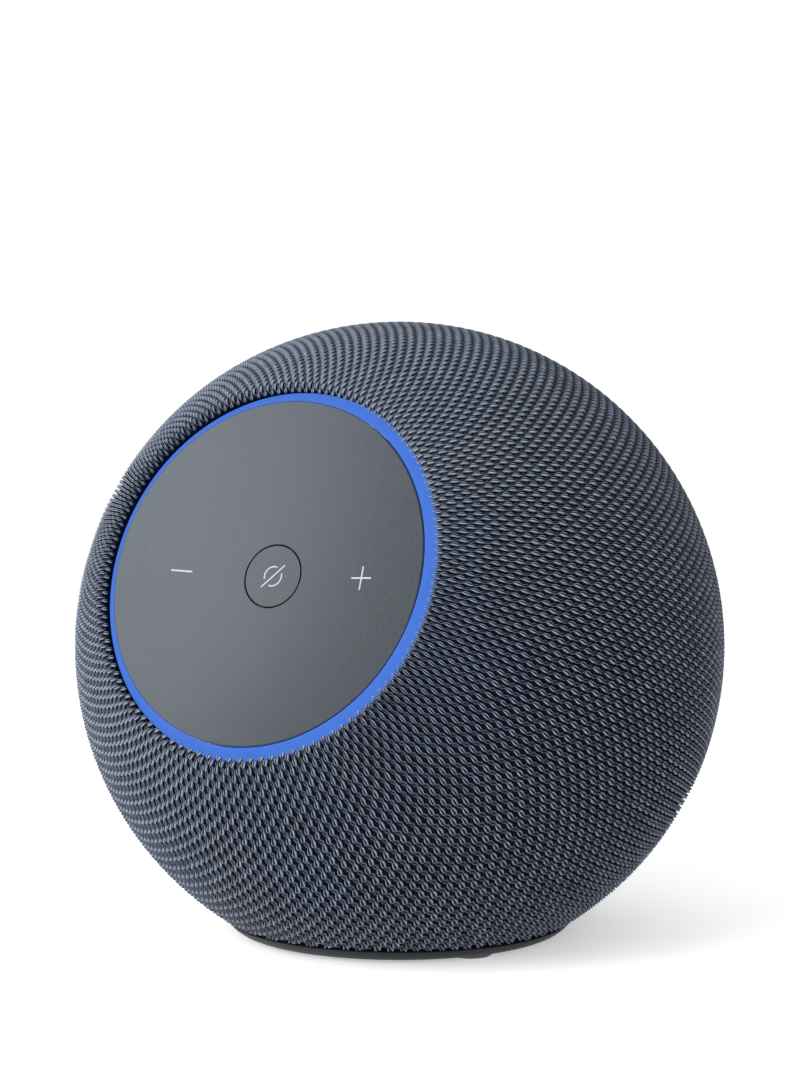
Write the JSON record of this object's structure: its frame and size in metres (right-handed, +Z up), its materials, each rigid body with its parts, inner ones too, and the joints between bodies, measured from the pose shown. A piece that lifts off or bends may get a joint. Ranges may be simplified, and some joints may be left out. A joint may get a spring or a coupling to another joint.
{
  "type": "smart speaker",
  "caption": "Ball-shaped speaker in a knitted cover, with a tilted dished control face, a lit ring, a pressed key and a low round base.",
  "frame": {"origin": "middle of the plane it rests on, straight below the ball's centre", "axes": "+Z up; the control face looks towards -Y, 20 degrees above level; +X to the right of someone facing the speaker"},
  "size_m": [0.1086, 0.1068, 0.1025],
  "materials": {
    "knit": "knitted polyester, two shades of blue-grey",
    "housing_plastic": "moulded, fine texture",
    "base_plastic": "moulded, satin",
    "foot_rubber": "matt",
    "face_plastic": "satin dark grey with a fine grain",
    "light_guide": "translucent, lit blue from below",
    "reflector_white": "matt white",
    "board_green": "solder mask",
    "chip_black": "moulded",
    "can_metal": "tinned",
    "screw_steel": "zinc plated",
    "pad_copper": "copper foil",
    "foam_grey": "closed-cell foam",
    "basket_steel": "pressed, black",
    "ferrite": "sintered ferrite",
    "motor_steel": "zinc plated",
    "cone_paper": "pressed pulp",
    "coil_copper": "enamelled copper wire",
    "former_film": "polyimide film",
    "edge_rubber": "soft, satin",
    "spider_cloth": "resin-treated cotton",
    "radiator_metal": "anodised",
    "cable_white": "flat flexible cable"
  },
  "bodies": {
    "speaker": {"knit_cover": "knit", "front_shell": "housing_plastic", "rear_shell": "housing_plastic", "base": "base_plastic", "rubber_feet": "foot_rubber", "service_cover": "base_plastic", "base_screws": "screw_steel", "control_plate": "face_plastic", "light_ring": "light_guide", "ring_reflector": "reflector_white", "face_chassis": "housing_plastic", "chassis_screws": "screw_steel", "control_board": "board_green", "ring_leds": "reflector_white", "microphones": "can_metal", "touch_pads": "pad_copper", "touch_foam": "foam_grey", "tact_switch": "can_metal", "inlet_bezel": "base_plastic", "dc_jack": "chip_black", "jack_board": "board_green", "acoustic_chamber": "housing_plastic", "driver_basket": "basket_steel", "driver_screws": "screw_steel", "top_plate": "motor_steel", "driver_magnet": "ferrite", "driver_yoke": "motor_steel", "driver_surround": "edge_rubber", "driver_gasket": "foam_grey", "driver_spider": "spider_cloth", "main_board": "board_green", "board_posts": "screw_steel", "board_screws": "screw_steel", "processor_shield": "can_metal", "capacitors": "can_metal", "board_parts": "chip_black", "wifi_antennas": "board_green", "ribbon_cable": "cable_white", "left_radiator_frame": "basket_steel", "right_radiator_frame": "basket_steel", "left_radiator_surround": "edge_rubber", "right_radiator_surround": "edge_rubber"},
    "mute_button": {"mute_key": "face_plastic", "switch_plunger": "chip_black"},
    "cone": {"driver_cone": "cone_paper", "coil_former": "former_film", "voice_coil": "coil_copper", "dust_cap": "cone_paper"},
    "left_radiator": {"left_radiator": "radiator_metal"},
    "right_radiator": {"right_radiator": "radiator_metal"}
  },
  "joints": [
    {"name": "mute_key_press", "type": "slide", "parent": "speaker", "child": "mute_button", "axis": [0, 0.9397, -0.342], "range_m": [0, 0.0004], "stiffness_N_per_m": 900, "springref_m": -0.0008},
    {"name": "cone_travel", "type": "slide", "parent": "speaker", "child": "cone", "axis": [0, 0.342, 0.9397], "range_m": [-0.0025, 0.0025], "stiffness_N_per_m": 1800, "deforming": ["driver_surround", "driver_spider"]},
    {"name": "left_radiator_travel", "type": "slide", "parent": "speaker", "child": "left_radiator", "axis": [-1, 0, 0], "range_m": [-0.003, 0.003], "stiffness_N_per_m": 900, "deforming": ["left_radiator_surround"]},
    {"name": "right_radiator_travel", "type": "slide", "parent": "speaker", "child": "right_radiator", "axis": [1, 0, 0], "range_m": [-0.003, 0.003], "stiffness_N_per_m": 900, "deforming": ["right_radiator_surround"]}
  ]
}
